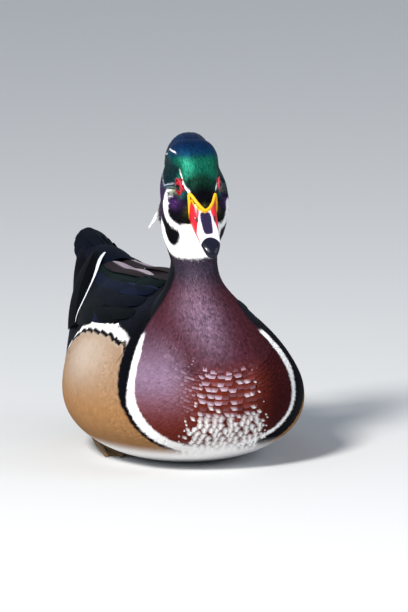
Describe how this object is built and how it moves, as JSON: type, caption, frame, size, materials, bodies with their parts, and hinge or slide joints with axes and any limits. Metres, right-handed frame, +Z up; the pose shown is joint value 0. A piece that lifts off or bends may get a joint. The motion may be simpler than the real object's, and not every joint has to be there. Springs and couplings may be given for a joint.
{
  "type": "wood duck",
  "caption": "Life-size drake wood duck, sitting on its belly in a calm floating pose with its crest laid back and wings folded.",
  "frame": {"origin": "the middle of the flat under the belly, at floor level", "axes": "+Z up, the bird faces -Y with its tail towards +Y, and its left side is +X"},
  "size_m": [0.148, 0.3297, 0.2153],
  "materials": {
    "body_plumage": "soft tan and chestnut feathers",
    "maroon_plumage": "silky maroon feathers with a purple gloss",
    "head_plumage": "silky green and purple feathers with a strong gloss",
    "dark_plumage": "black feathers with a blue and green gloss",
    "bill_horn": "smooth horn, satin",
    "eye_red": "wet, glossy",
    "foot_skin": "scaly skin, matt"
  },
  "bodies": {
    "root": {"torso": "body_plumage", "neck": "maroon_plumage", "head": "head_plumage", "crest": "head_plumage", "wing_right": "dark_plumage", "wing_left": "dark_plumage", "tail": "dark_plumage", "bill_upper": "bill_horn", "bill_lower": "bill_horn", "eye_right": "eye_red", "eye_left": "eye_red", "foot_right": "foot_skin", "foot_left": "foot_skin"}
  },
  "joints": []
}
